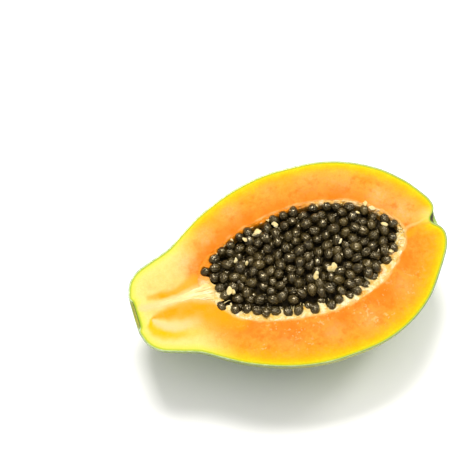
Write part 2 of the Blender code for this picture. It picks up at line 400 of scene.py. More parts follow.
PEEL_GREEN = (0.085, 0.190, 0.006)
PEEL_DARK = (0.040, 0.105, 0.006)
PEEL_LIME = (0.300, 0.420, 0.008)
PEEL_YELLOW = (0.560, 0.460, 0.008)
PEEL_BROWN = (0.110, 0.055, 0.012)
SCAR_OLIVE = (0.560, 0.500, 0.030)
FLOWER_SCAR = (78.2 * MM, 4.6 * MM, 49.2 * MM)
FLOWER_BROWN = (0.045, 0.036, 0.008)


def peel_material():
    made, tree, shader = new_material("papaya peel", Specular_IOR_Level=0.4, Coat_Roughness=0.18)
    here, along = coordinates(tree), coordinates(tree, 0.35)
    place = parts(here)
    fine = mottle(here, 420.0, 0.35, 0.7, 4.0)
    colour = blend(mottle(along, 24.0, 0.42, 0.62, 2.0), PEEL_GREEN, PEEL_LIME)
    # Ripening starts at the blossom end and along the side that had the sun.
    sunny = (place["Z"] + place["Y"] * -0.55).fade(0.045, 0.100)
    colour = blend(sunny * mottle(along, 36.0, 0.30, 0.65, 3.0), colour, PEEL_YELLOW)
    colour = blend(place["X"].fade(-0.040, -0.078) * 0.7, colour, PEEL_LIME)
    colour = blend(fine * 0.18, colour, PEEL_DARK)
    colour = blend(flecks(here, 900.0, 0.30, 0.30) * 0.35, colour, PEEL_YELLOW)
    brown_dots = flecks(here, 210.0, 0.13, 0.16)
    colour = blend(brown_dots * 0.8, colour, PEEL_BROWN)
    # The scar of the stalk: a rough, olive disc in the hollow of the stem end
    from_axis = joined_vector(tree, Y=place["Y"], Z=place["Z"] - CUT_HEIGHT).vector("LENGTH", output="Value")
    scar = from_axis.fade(0.0082, 0.0062) * place["X"].maths("LESS_THAN", -0.078)
    crust = mottle(here, 650.0, 0.45, 0.6, 4.0) * place["Y"].slope(0.0, -0.006).times_plus(0.6, 0.3)
    colour = blend(scar, colour, blend(crust, SCAR_OLIVE, PEEL_BROWN))
    # The dry scar of the flower, in the dimple at the other end
    flower = (here.vector("DISTANCE", {1: FLOWER_SCAR}, "Value") + fine * 0.0014).fade(0.0040, 0.0030)
    colour = blend(flower, colour, FLOWER_BROWN)
    dull = scar.at_least(flower)
    # The edge that the knife left: dark outside and yellow-green where it meets the flesh
    inner = attribute(tree, "inner")
    edge = ramp(
        inner, (0.0, (0.045, 0.085, 0.003)), (0.45, (0.12, 0.19, 0.005)), (1.0, (0.29, 0.36, 0.006)),
    )
    dull_edge = ramp(
        inner, (0.0, (0.055, 0.100, 0.008)), (0.5, (0.16, 0.24, 0.010)), (1.0, (0.44, 0.46, 0.008)),
    )
    far_belly = place["X"].times_plus(0.35, place["Y"]).fade(0.0, 0.030)
    colour = blend(inner.maths("GREATER_THAN", 0.004), colour, blend(far_belly, edge, dull_edge))
    relief = fine * 0.5 + brown_dots * -1.0 + mottle(here, 90.0, 0.2, 0.8, 2.0) * 2.0
    connect(
        shader, Base_Color=colour, Normal=bump(relief, 0.00012, 0.6),
        Coat_Weight=dull.times_plus(-0.25, 0.25),
        Roughness=(fine + dull * 2.0).slope(0.0, 2.0, 0.30, 0.75),
    )
    return made


profile_curve = bpy.data.curves.new("peel profile", "CURVE")
profile_curve.dimensions = "3D"
profile_line = profile_curve.splines.new("POLY")
profile_line.points.add(PROFILE_STEPS)
for k, point in enumerate(profile_line.points):
    along, radius = spline(FRUIT_PROFILE, k / PROFILE_STEPS)
    point.co = (along * MM, radius * MM, 0.0, 1.0)
profile_object = new_piece("peel_profile", profile_curve)

peel = new_piece("peel", bpy.data.meshes.new("peel"))
grow(peel, turned_half_tree(), {
    "Profile": profile_object, "Cut Height": CUT_HEIGHT, "Depth to Width": DEPTH_TO_WIDTH,
    "Lobes": float(LOBES), "Lobe Swell": LOBE_SWELL, "Skew": BLOSSOM_SKEW, "Skew From": SKEW_FROM,
    "Skew To": SKEW_TO, "Bend": BLOSSOM_BEND, "Bend Radius": BEND_RADIUS, "Bend Length": BEND_LENGTH,
    "Wall": PEEL_THICKNESS, "Steps Along": 260, "Steps Around": 110,
    "Rings to Ends": RINGS_TO_ENDS, "Material": peel_material(),
})
bpy.data.objects.remove(profile_object)
face_outwards(peel)
peel.data.shade_smooth()
peel.data.set_sharp_from_angle(angle=math.radians(40.0))
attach(peel, "root")
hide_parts("fruit_half")

# Flesh
# Juicy, fine-grained flesh round the seed hollow: yellow under the peel, orange further in and pale at the
# hollow's edge. It is one closed body under the peel, lofted in rings that follow the cut face.
CAVITY_PROFILE = (
    (62.5, 0.0), (61.1, 5.2), (57.3, 10.6), (52.2, 15.8), (41.4, 23.3), (26.5, 28.1), (10.5, 29.5),
    (-7.6, 27.3), (-17.8, 25.0), (-26.8, 21.6), (-34.9, 17.2), (-40.1, 12.6), (-44.3, 6.7), (-46.8, 0.0),
)
CAVITY_DEPTH_TO_WIDTH = 0.86
CAVITY_STAR = 0.07
CAVITY_OFFSET = 2.0 * MM
TIP_OFFSET = 3.8 * MM
TIP_FROM, TIP_TO = -30.0 * MM, -46.0 * MM
FLESH_STEPS = 280
UNDER_ROWS, FACE_ROWS, WALL_ROWS = 30, 76, 34
FACE_DIP = 0.10 * MM            # the moist face lies this far under the peel's edge
WAVER_DRAW = 4                  # seed for the waver of the soft bands
# Soft spots of the cut face: (x, y, radius, strength), in millimetres. Deep orange ones:
GLOWS = (
    (-44.5, 10.5, 5.0, 1.0), (-46.5, 13.5, 4.0, 0.9), (-41.0, 16.5, 5.5, 1.0), (-35.0, 20.5, 6.0, 1.0),
    (-28.0, 24.5, 6.0, 0.9), (-21.0, 27.5, 6.0, 0.95), (-12.0, 30.5, 6.0, 0.95), (-2.0, 32.0, 5.5, 0.8),
    (7.0, 33.0, 6.0, 0.7),
    (22.0, 33.5, 8.0, 0.6), (36.0, 31.0, 7.0, 0.9), (46.0, 25.0, 6.0, 0.5),
    (-29.0, -22.0, 6.0, 0.8), (-10.0, -29.0, 7.0, 0.7), (17.0, -31.0, 8.0, 0.6), (41.0, -26.0, 8.0, 0.85),
    (57.0, -13.0, 7.0, 0.7), (-38.0, -17.0, 6.0, 0.6), (64.0, -2.0, 5.0, 0.4),
)
# Pale, peach ones:
PALES = (
    (24.0, 43.0, 9.0, 0.45), (40.0, 38.0, 9.0, 0.6), (66.0, 12.0, 8.0, 0.9), (2.0, 44.0, 7.0, 0.3),
    (-20.0, 38.0, 7.0, 0.6), (-36.0, 29.5, 6.0, 0.9), (-50.0, 18.5, 6.5, 1.0), (57.0, 24.0, 7.0, 0.8),
    (12.0, -38.0, 6.0, 0.5), (30.0, -38.0, 7.0, 0.5), (-12.0, -37.0, 6.0, 0.3), (52.0, -26.0, 7.0, 0.4),
)
# Soft bands of the neck, where the vessels come in from the stalk: ((x, y, half width, strength), ...)
CREAM_BANDS = (
    ((-78.0, 2.6, 1.6, 0.9), (-70.0, 1.5, 2.0, 1.0), (-65.0, 1.6, 1.7, 1.0), (-58.0, 1.6, 1.8, 1.0),
     (-52.0, 1.6, 2.7, 1.0), (-47.0, 1.0, 3.8, 1.0), (-42.5, 0.3, 4.4, 1.0)),
    ((-74.0, -5.4, 0.8, 0.8), (-71.4, -8.3, 1.4, 1.0), (-68.5, -10.6, 1.9, 1.0), (-64.8, -12.0, 2.3, 0.95),
     (-60.2, -12.4, 2.4, 0.7), (-54.4, -12.0, 2.6, 0.35), (-48.0, -11.5, 2.8, 0.0)),
    ((77.5, 5.0, 1.2, 0.5), (72.0, 3.8, 0.7, 0.45), (65.1, 2.9, 0.7, 0.35), (61.6, 1.2, 1.0, 0.35)),
    ((76.5, 6.0, 3.6, 0.5), (72.0, 5.5, 3.0, 0.2)),
)
AMBER_BANDS = (
    ((-73.0, 6.7, 1.2, 0.5), (-66.5, 5.8, 1.9, 1.0), (-60.1, 5.3, 1.8, 1.0), (-55.0, 6.8, 1.8, 0.8),
     (-48.0, 9.0, 2.6, 0.8)),
    ((-74.5, -4.4, 0.6, 0.9), (-70.0, -4.2, 1.9, 1.0), (-64.0, -4.6, 3.6, 1.0), (-56.5, -5.4, 5.2, 1.0),
     (-48.0, -8.4, 7.4, 1.0), (-40.0, -13.6, 7.2, 0.9), (-33.0, -19.0, 4.5, 0.8)),
    ((-47.0, 3.0, 0.5, 0.6), (-43.5, 1.4, 1.0, 1.0), (-40.0, -0.5, 1.4, 1.0)),
    ((76.5, 1.6, 0.6, 0.5), (70.0, 1.4, 0.9, 0.6), (64.0, -1.0, 1.6, 0.7)),
)
LEMON_BANDS = (
    ((-75.2, -4.9, 0.7, 1.0), (-76.2, -8.0, 1.6, 1.0), (-74.8, -11.4, 2.5, 1.0), (-70.4, -14.3, 2.4, 1.0),
     (-62.7, -16.6, 2.2, 0.7), (-54.0, -17.9, 2.4, 0.4), (-46.0, -20.0, 2.6, 0.0)),
)
# Where the flesh runs on level into the hollow: round the lone seeds and under the vessels
SHELVES = ((-44.5, 12.5, 6.0, 1.0), (-41.0, 7.5, 4.5, 1.0), (-45.5, 3.5, 8.0, 1.0), (-38.5, 19.0, 3.5, 0.8))


def cavity_centre(x):
    """How far the hollow's middle lies to the far side at a place along the length."""
    return CAVITY_OFFSET + TIP_OFFSET * smooth_step(TIP_FROM, TIP_TO, x)


def cavity_point(share, angle, inset):
    """A point of the hollow's wall, or of a surface that lies inset inside it."""
    x, radius = (value * MM for value in spline(CAVITY_PROFILE, closer_at_ends(share)))
    blossom_tip, stem_tip = CAVITY_PROFILE[0][0] * MM, CAVITY_PROFILE[-1][0] * MM
    middle, half_length = (blossom_tip + stem_tip) / 2, (blossom_tip - stem_tip) / 2
    half_width = max(station[1] for station in CAVITY_PROFILE) * MM
    x = middle + (x - middle) * (1.0 - inset / half_length)
    radius *= 1.0 - inset / half_width
    radius *= 1.0 + CAVITY_STAR * math.cos(LOBES * angle - math.pi / 2) * abs(math.sin(angle))
    y = cavity_centre(x) + radius * math.cos(angle)
    return Vector((x, y, CUT_HEIGHT + CAVITY_DEPTH_TO_WIDTH * radius * math.sin(angle)))


def fruit_point(share, angle, inset):
    """A point of a surface that lies inset inside the fruit's outer surface."""
    x, radius = (value * MM for value in spline(FRUIT_PROFILE, closer_at_ends(share)))
    before = spline(FRUIT_PROFILE, closer_at_ends(max(0.0, share - 0.002)))
    after = spline(FRUIT_PROFILE, closer_at_ends(min(1.0, share + 0.002)))
    length = math.dist(before, after)
    x -= inset * (after[1] - before[1]) / length
    radius += inset * (after[0] - before[0]) / length * min(1.0, radius / NO_RADIUS)
    radius = max(radius, 0.0) * (1.0 + LOBE_SWELL * math.cos(LOBES * angle - math.pi / 2))
    y = radius * math.cos(angle)
    x -= BLOSSOM_SKEW * y * smooth_step(SKEW_FROM, SKEW_TO, x)
    y += BLOSSOM_BEND * smooth_step(BEND_RADIUS, 0.0, radius) * smooth_step(0.0, BEND_LENGTH, x)
    return Vector((x, y, max(inset, CUT_HEIGHT + DEPTH_TO_WIDTH * radius * math.sin(angle))))


def round_the_face(steps):
    """Stations round the cut face, as (share of the length, side): the far side, then the near one."""
    far = [(k / steps, 1.0) for k in range(steps + 1)]
    return far + [(k / steps, -1.0) for k in range(steps - 1, 0, -1)]


def angle_at(side, rise):
    """The angle about the length, from 0 at the keel to 1 at the cut face."""
    return -math.pi / 2 + side * rise * math.pi / 2


def loft(rows):
    """A mesh from closed rings with as many points each."""
    count = len(rows[0])
    faces = []
    for r in range(len(rows) - 1):
        for k in range(count):
            after = (k + 1) % count
            faces.append((r * count + k, r * count + after, (r + 1) * count + after, (r + 1) * count + k))
    mesh = bpy.data.meshes.new("loft")
    mesh.from_pydata([point for row in rows for point in row], [], faces)
    return mesh


def flat_tree(points):
    """A search tree of points, all put at height 0."""
    found = KDTree(len(points))
    for k, point in enumerate(points):
        found.insert((point[0], point[1], 0.0), k)
    found.balance()
    return found


def from_tree(found, point):
    return found.find((point.x, point.y, 0.0))[2]


def blobs(point, places):
    """The strongest of some soft round spots at a point. The spots are in millimetres."""
    strongest = 0.0
    for x, y, radius, strength in places:
        away = math.hypot(point.x / MM - x, point.y / MM - y) / radius
        strongest = 1.0 - (1.0 - strongest) * (1.0 - strength * math.exp(-1.3 * away * away))
    return strongest


def bands(point, lines):
    """The strongest of some soft bands at a point, each along a line with a half width at its points."""
    here = Vector((point.x / MM, point.y / MM))
    strongest = 0.0
    for line in lines:
        for first, second in zip(line, line[1:]):
            start, run = Vector(first[:2]), Vector(second[:2]) - Vector(first[:2])
            share = min(1.0, max(0.0, (here - start).dot(run) / run.dot(run)))
            half_width = first[2] + (second[2] - first[2]) * share
            strength = first[3] + (second[3] - first[3]) * share
            away = (here - start - share * run).length / half_width
            strongest = max(strongest, strength * smooth_step(1.8, 0.2, away))
    return strongest


stations = round_the_face(FLESH_STEPS)
fine_outline = [fruit_point(s, angle_at(side, 1.0), PEEL_THICKNESS) for s, side in round_the_face(900)]
fine_rim = [cavity_point(s, angle_at(side, 1.0), 0.0) for s, side in round_the_face(900)]
outline_tree, rim_tree = flat_tree(fine_outline), flat_tree(fine_rim)

rows = []
for r in range(UNDER_ROWS):
    rows.append([fruit_point(s, angle_at(side, r / UNDER_ROWS), PEEL_THICKNESS) for s, side in stations])
outline = [fruit_point(s, angle_at(side, 1.0), PEEL_THICKNESS) for s, side in stations]
rim = [cavity_point(s, angle_at(side, 1.0), 0.0) for s, side in stations]
for r in range(FACE_ROWS + 1):
    rows.append([a.lerp(b, r / FACE_ROWS) for a, b in zip(outline, rim)])
for r in range(1, WALL_ROWS + 1):
    rows.append([cavity_point(s, angle_at(side, 1.0 - r / WALL_ROWS), 0.0) for s, side in stations])

noise.seed_set(WAVER_DRAW)
marks = {name: [] for name in (
    "from_peel", "from_hollow", "glow", "pale", "cream", "amber", "lemon", "shelf",
)}
for r, row in enumerate(rows):
    on_face = UNDER_ROWS <= r <= UNDER_ROWS + FACE_ROWS
    for point in row:
        from_peel = from_tree(outline_tree, point) / MM
        from_hollow = from_tree(rim_tree, point) / MM
        soft = point + 0.5 * MM * noise.noise_vector(point / (3.5 * MM))
        marks["from_peel"].append(from_peel)
        marks["from_hollow"].append(from_hollow if on_face else -(CUT_HEIGHT - point.z) / MM)
        marks["glow"].append(blobs(point, GLOWS))
        marks["shelf"].append(blobs(point, SHELVES))
        marks["pale"].append(blobs(point, PALES))
        marks["cream"].append(bands(soft, CREAM_BANDS) if on_face else 0.0)
        marks["amber"].append(bands(soft, AMBER_BANDS) if on_face else 0.0)
        marks["lemon"].append(bands(soft, LEMON_BANDS) if on_face else 0.0)
        if on_face:
            bend = noise.noise(point / (9.0 * MM)) + 0.5 * noise.noise(point / (2.6 * MM))
            edge = smooth_step(0.8, 0.0, from_hollow) * (1.0 - blobs(point, SHELVES))
            lift = 0.08 * MM * (marks["cream"][-1] - marks["amber"][-1])
            point.z -= FACE_DIP + 0.07 * MM * (1.0 + bend) - lift + 0.5 * MM * edge


def flesh_material():
    made, tree, shader = new_material(
        "papaya flesh", Specular_IOR_Level=0.04, Subsurface_Weight=0.15, Subsurface_Scale=0.002,
        Subsurface_Radius=(1.0, 0.5, 0.15),
    )
    here = coordinates(tree)
    place = parts(here)
    from_peel, from_hollow = attribute(tree, "from_peel"), attribute(tree, "from_hollow")
    cloud = mottle(here, 140.0, 0.30, 0.70, 3.0)
    patch = mottle(here, 420.0, 0.34, 0.66, 2.0)
    fine = mottle(here, 1100.0, 0.3, 0.7, 2.0)
    # The zones run along the peel. In the neck the flesh stays a pale yellow.
    neck = place["X"].fade(-0.034, -0.058)
    belly = neck.times_plus(-0.75, 1.0)
    wobble = (cloud - 0.5) * 2.4 * belly
    depth = (from_peel + wobble * from_peel.fade(0.5, 4.0)) / 24.0
    colour = ramp(
        depth, (0.0, (0.30, 0.38, 0.004)), (0.035, (0.54, 0.47, 0.002)), (0.085, (0.595, 0.385, 0.000)),
        (0.21, (0.600, 0.292, 0.001)), (0.36, (0.590, 0.228, 0.006)), (0.60, (0.580, 0.182, 0.012)),
        (1.0, (0.585, 0.165, 0.010)),
    )
    yellow = ramp(
        depth, (0.0, (0.27, 0.38, 0.008)), (0.05, (0.58, 0.540, 0.070)), (0.16, (0.61, 0.530, 0.150)),
        (0.50, (0.615, 0.475, 0.140)), (1.0, (0.62, 0.400, 0.100)),
    )
    colour = blend(neck, colour, yellow)
    pale = attribute(tree, "pale") * cloud.times_plus(0.5, 0.5) * from_peel.fade(1.5, 6.0)
    colour = blend(pale * 0.9, colour, (0.63, 0.390, 0.150))
    # Mottled flesh: darker and paler grains of a millimetre or two, and finer ones between them
    grains = patch * from_peel.fade(2.0, 6.0) * belly
    colour = blend(grains * 0.56, colour, (0.64, 0.290, 0.030))
    dark_grains = mottle(here, 250.0, 0.46, 0.76, 3.0) * from_peel.fade(4.0, 9.0) * belly
    colour = blend(dark_grains * 0.70, colour, (0.53, 0.120, 0.002))
    colour = blend(fine * 0.20 * belly, colour, (0.58, 0.165, 0.002))
    glow = attribute(tree, "glow")
    deep = (glow * patch.times_plus(0.4, 0.75) * from_peel.fade(2.0, 7.0)).at_most(1.0)
    colour = blend(deep * 0.9, colour, (0.565, 0.132, 0.000))
    # Painted glints: small pale specks that stand for light caught on juicy cells, most of them on the near
    # side of the belly
    glint_specks = mottle(here, 560.0, 0.585, 0.66, 1.0) * place["Y"].slope(-0.012, -0.034)
    glint_specks = glint_specks * mottle(here, 85.0, 0.42, 0.60, 2.0)
    glint_specks = glint_specks * neck.times_plus(-1.0, 1.0) * from_peel.fade(5.0, 9.0)
    colour = blend(glint_specks * 0.55, colour, (0.66, 0.400, 0.150))
    # A few brown specks where dry seed skins have stained the flesh
    stain = flecks(here, 260.0, 0.085, 0.10) * from_hollow.slope(9.0, 3.0)
    colour = blend(stain * 0.7, colour, (0.26, 0.075, 0.010))
    soft = cloud.times_plus(0.20, 0.85)
    for name, tone in (
        ("amber", (0.62, 0.262, 0.001)), ("lemon", (0.60, 0.370, 0.000)), ("cream", (0.62, 0.455, 0.185)),
    ):
        colour = blend((attribute(tree, name) * soft).at_most(1.0), colour, tone)
    rim_pale = (from_hollow + wobble * 0.4).fade(1.7, 0.2, 0.0, 0.7)
    rim_pale = rim_pale * attribute(tree, "shelf").slope(0.3, 0.0) * glow.slope(1.0, 0.55)
    colour = blend(rim_pale, colour, (0.65, 0.400, 0.130))
    connect(
        shader, Base_Color=colour, Normal=bump(fine * 0.5 + glint_specks * 0.8, 0.00016, 0.7),
        Roughness=cloud.slope(0.0, 1.0, 0.40, 0.58),
    )
    return made


def keep_values(mesh, name, values, sort="FLOAT"):
    """Stores a value for each point of a mesh under a name."""
    field = "vector" if sort == "FLOAT_VECTOR" else "value"
    mesh.attributes.new(name, sort, "POINT").data.foreach_set(field, values)


flesh = new_piece("flesh", loft(rows))
for name, values in marks.items():
    keep_values(flesh.data, name, values)
face_outwards(flesh)
flesh.data.materials.append(flesh_material())
flesh.data.shade_smooth()
flesh.data.set_sharp_from_angle(angle=math.radians(55.0))
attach(flesh, "root")
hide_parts("fruit_half")

# Seeds
# Small ovals in clear, wet coats, dark olive brown. They fill the hollow in loose rows, each on a short
# stalk of pulp that the heap hides, over a dark mass of deeper seeds. Geometry Nodes set them out.
SEED_HALF_SIZES = (3.2 * MM, 2.75 * MM, 2.6 * MM)
SEED_SLIMMER = 0.97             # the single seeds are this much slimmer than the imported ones
SEED_SPREAD = 0.10
SEED_DRAW = 2
SEED_STEP, SEED_ROW = 5.7 * MM, 4.95 * MM
SEED_ROWS_TURN = math.radians(17.0)
SEED_ROWS = 12
SEED_STRAY, SEED_STRAY_UP = 0.95 * MM, 0.9 * MM
SEED_FROM_WALL = 0.6 * MM
HEAP_AT_WALL, HEAP_AT_MIDDLE = -2.0 * MM, -0.5 * MM
HEAP_RISE_WIDTH = 13.0 * MM
HEAP_ROUGHNESS = 1.3 * MM
HEAP_GRAIN = 11.0 * MM
HOLLOWS = (
    (27.0 * MM, 4.0 * MM, 6.5 * MM, 3.2 * MM),
    (-3.0 * MM, -9.0 * MM, 6.0 * MM, 2.6 * MM),
    (-22.0 * MM, 17.0 * MM, 9.0 * MM, 3.6 * MM),
)
LOWER_LAYER = 4.3 * MM          # from the upper seeds' centres down to the ones between them


def heap_height(x, y):
    """Height of the uppermost seeds' centres over the cut face."""
    from_wall = wall.find_nearest(Vector((x, y, CUT_HEIGHT)))[3]
    rise = smooth_step(0.0, HEAP_RISE_WIDTH, from_wall)
    height = HEAP_AT_WALL + (HEAP_AT_MIDDLE - HEAP_AT_WALL) * rise
    height += HEAP_ROUGHNESS * noise.noise(Vector((x, y, 0.0)) / HEAP_GRAIN)
    for hollow_x, hollow_y, radius, depth in HOLLOWS:
        height -= depth * smooth_step(radius, 0.0, math.hypot(x - hollow_x, y - hollow_y))
    return height


def has_room(centre, half_length):
    """Whether a seed fits inside the hollow's wall there, however it is turned."""
    nearest, normal, _, distance = wall.find_nearest(centre)
    return (nearest - centre).dot(normal) > 0.0 and distance > half_length + SEED_FROM_WALL


def random_turn(drawn):
    return Euler([drawn.uniform(0.0, 2 * math.pi) for _ in range(3)])


def seed_places():
    """Centre, turn and size of each seed of the top layer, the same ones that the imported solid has."""
    draw = random.Random(SEED_DRAW)
    rows_turn = Matrix.Rotation(SEED_ROWS_TURN, 3, "Z")
    found = []
    for row in range(-SEED_ROWS, SEED_ROWS + 1):
        for step in range(-SEED_ROWS, SEED_ROWS + 1):
            place = rows_turn @ Vector((SEED_STEP * (step + 0.5 * (row % 2)), SEED_ROW * row, 0.0))
            stray = Vector([draw.uniform(-1.0, 1.0) for _ in range(3)])
            turn = random_turn(draw)
            size = 1.0 + SEED_SPREAD * draw.uniform(-1.0, 1.0)
            x, y = place.x + SEED_STRAY * stray.x, place.y + SEED_STRAY * stray.y
            centre = Vector((x, y, CUT_HEIGHT + heap_height(x, y) + SEED_STRAY_UP * stray.z))
            if has_room(centre, SEED_HALF_SIZES[0] * size):
                found.append((centre, turn, size))
    return found


coarse = bmesh.new()
bmesh.ops.create_uvsphere(coarse, u_segments=24, v_segments=20, radius=1.0)
for vertex in coarse.verts:
    share = math.acos(max(-1.0, min(1.0, vertex.co.z))) / math.pi
    vertex.co = cavity_point(share, math.atan2(vertex.co.y, vertex.co.x), 0.0)
bmesh.ops.recalc_face_normals(coarse, faces=coarse.faces)
wall = BVHTree.FromBMesh(coarse)
coarse.free()

LONE_SEEDS = ((-41.7, 11.6, -1.3),)      # (x, y, height over the cut face), in millimetres
LONE_SEED_ROOM = 5.6 * MM
RIM_SEEDS = (
    (-35.1, 16.6, -1.0), (-36.2, 12.2, -1.9), (-29.7, 11.7, -0.6), (-33.4, 5.5, -0.9), (-28.1, 4.0, -0.3),
    (-36.7, 1.1, -1.6), (-30.4, -0.8, -0.4), (-35.4, -3.2, -1.9), (-29.9, -7.0, -1.6), (-24.8, -5.6, -0.4),
    (-38.2, 7.4, -2.4), (-39.2, -8.6, -1.7), (-32.8, -12.2, -1.6), (-27.0, -13.5, -1.6), (-22.6, -16.0, -1.6),
    (-19.4, -11.2, -0.8), (-13.8, -19.0, -1.6), (-7.9, -21.3, -1.5), (-2.6, -22.3, -1.3), (5.6, -24.0, -1.5),
    (14.4, -24.6, -1.6),
)
RIM_SEED_ROOM = 4.9 * MM
HEAP_TOP = 52.9 * MM            # no seed stands higher than this
TIP_FREE, TIP_TILT = -40.6 * MM, 0.35           # the vessels cover the hollow's tip up to a slanting line


def apart(centre, others, room):
    return all((centre - other[0]).length > room for other in others)


def clear_of_tip(x, y):
    return x - TIP_TILT * y > TIP_FREE


def half_height(turn, size):
    """Half the height of a turned seed."""
    upwards = turn.to_matrix()[2]
    half_sizes = (SEED_HALF_SIZES[1], SEED_HALF_SIZES[2], SEED_HALF_SIZES[0])
    return 1.05 * size * math.hypot(*(a * b for a, b in zip(upwards, half_sizes)))


def placed(x, y, height, turn, size):
    """A seed at a place in millimetres, with its height over the cut face."""
    return Vector((x * MM, y * MM, CUT_HEIGHT + height * MM)), Euler(turn), size


lone_seeds = [placed(*place, (0.5, 0.4, 1.0), 0.95) for place in LONE_SEEDS]
rim_seeds = [placed(*place, (1.2, 0.9, 0.4 * place[0]), 0.98) for place in RIM_SEEDS]
top_seeds = lone_seeds + rim_seeds + [
    place for place in seed_places()
    if apart(place[0], lone_seeds, LONE_SEED_ROOM) and apart(place[0], rim_seeds, RIM_SEED_ROOM)
    and clear_of_tip(place[0].x, place[0].y)
]
drawn = random.Random(31)
# Seeds pressed against the far rim, where the lining is thin, and seeds half held by the near side's lining:
# (side, seeds, first share, length in shares, insets, depths, least size, room), in millimetres
RIM_ROWS = (
    (0.0, 60, 0.10, 0.78, (2.5, 3.4), (0.6, 2.2), 0.85, 4.5),
    (math.pi, 48, 0.36, 0.50, (3.9, 4.8), (0.3, 1.6), 0.88, 4.4),
)
for side, count, first, length, insets, depths, least, room in RIM_ROWS:
    for k in range(count):
        centre = cavity_point(first + length * k / (count - 1), side, drawn.uniform(*insets) * MM)
        centre.z -= drawn.uniform(*depths) * MM
        turn, size = random_turn(drawn), drawn.uniform(least, 1.02)
        if apart(centre, top_seeds, room * MM):
            top_seeds.append((centre, turn, size))
# Seeds that show in the gaps between the others
for _ in range(900):
    x, y = drawn.uniform(-41.0, 60.0) * MM, drawn.uniform(-28.0, 31.0) * MM
    centre = Vector((x, y, CUT_HEIGHT + heap_height(x, y) - drawn.uniform(0.9, 1.9) * MM))
    turn, size = random_turn(drawn), drawn.uniform(0.84, 0.98)
    if has_room(centre, 2.6 * MM) and apart(centre, top_seeds, 4.15 * MM) and clear_of_tip(x, y):
        top_seeds.append((centre, turn, size))
# Seeds that lie on top of the others
for _ in range(300):
    base = top_seeds[drawn.randrange(len(top_seeds))][0]
    centre = base + Vector((drawn.uniform(-4, 4), drawn.uniform(-4, 4), drawn.uniform(1.2, 2.4))) * MM
    turn, size = random_turn(drawn), drawn.uniform(0.88, 1.05)
    centre.z = min(centre.z, HEAP_TOP - half_height(turn, size))
    in_hollow = any(math.hypot(centre.x - x, centre.y - y) < r for x, y, r, _ in HOLLOWS)
    low = Vector((centre.x, centre.y, CUT_HEIGHT - 1.0 * MM))
    if centre.z < CUT_HEIGHT + 1.7 * MM and not in_hollow and has_room(low, 5.0 * MM):
        if apart(centre, top_seeds, 4.35 * MM) and apart(centre, lone_seeds, 8.0 * MM):
            top_seeds.append((centre, turn, size))
deep_seeds = []
for centre, turn, size in top_seeds:
    below = centre + Vector((
        drawn.uniform(2.0, 3.6) * MM, drawn.uniform(1.2, 3.2) * MM, -drawn.uniform(0.8, 1.1) * LOWER_LAYER,
    ))
    swung, size = random_turn(drawn), drawn.uniform(0.9, 1.05)
    if has_room(below, SEED_HALF_SIZES[0]) and apart(below, lone_seeds, LONE_SEED_ROOM):
        deep_seeds.append((below, swung, size))


def points_mesh(places, tints, kinds):
    """Loose points with a turn, a size, a tint and a kind each, for Geometry Nodes to set pieces on."""
    mesh = bpy.data.meshes.new("points")
    mesh.from_pydata([place[0] for place in places], [], [])
    keep_values(mesh, "turn", [value for place in places for value in place[1]], "FLOAT_VECTOR")
    keep_values(mesh, "size", [place[2] for place in places])
    keep_values(mesh, "tint", tints)
    keep_values(mesh, "kind", kinds, "INT")
    return mesh


def named_value(tree, name, sort="FLOAT"):
    return add(tree, "GeometryNodeInputNamedAttribute", {"Name": name}, data_type=sort)["Attribute"]


def set_on_points(given, piece, more=None):
    """Real copies of a piece on the given points, turned and sized as each point says."""
    tree = piece.tree
    turn = add(tree, "FunctionNodeEulerToRotation", {0: named_value(tree, "turn", "FLOAT_VECTOR")})[0]
    return realized(add(tree, "GeometryNodeInstanceOnPoints", {
        "Points": given["Geometry"], "Instance": piece, "Rotation": turn,
        "Scale": named_value(tree, "size"), **(more or {}),
    })[0])


def smoothed(geometry):
    return add(geometry.tree, "GeometryNodeSetShadeSmooth", {"Geometry": geometry})[0]


def seed_heap_tree(kinds):
    """Ovals of a few kinds, set on points."""
    tree, given, result = shape_tree(
        "heap of seeds", Float=("Half Length", "Half Width", "Half Thickness", "Dents"),
        Int=("Sides", "Rings", "Seed"),
    )
    joined = tree.nodes.new("GeometryNodeJoinGeometry")
    stretch = joined_vector(tree, X=given["Half Width"], Y=given["Half Thickness"], Z=given["Half Length"])
    for kind in range(kinds):
        ball = add(tree, "GeometryNodeMeshUVSphere", {
            "Segments": given["Sides"], "Rings": given["Rings"], "Radius": 1.0,
        })[0]
        place = add(tree, "GeometryNodeInputPosition")[0]
        lump = add(tree, "ShaderNodeTexNoise", {
            "Vector": place, "W": given["Seed"] + 7.3 * kind, "Scale": 0.9, "Detail": 1.0,
        }, noise_dimensions="4D")["Fac"]
        # One end is blunter than the other.
        taper = parts(place)["Z"].times_plus(-0.07 - 0.03 * kind, 1.0)
        shaped = place.vector("MULTIPLY", {1: joined_vector(tree, X=taper, Y=taper, Z=1.0)})
        shaped = shaped.vector("SCALE", {"Scale": (lump - 0.5).times_plus(given["Dents"], 1.0)})
        own = add(tree, "GeometryNodeStoreNamedAttribute", {
            "Geometry": ball, "Name": "own place", "Value": place,
        }, data_type="FLOAT_VECTOR", domain="POINT")[0]
        oval = add(tree, "GeometryNodeSetPosition", {
            "Geometry": own, "Position": shaped.vector("MULTIPLY", {1: stretch}),
        })[0]
        feed(joined.inputs[0], add(tree, "GeometryNodeGeometryToInstance", {0: oval})[0])
    laid = set_on_points(given, Node(joined)[0], {
        "Pick Instance": True, "Instance Index": named_value(tree, "kind", "INT"),
    })
    end_shape(smoothed(laid), given, result)
    return tree


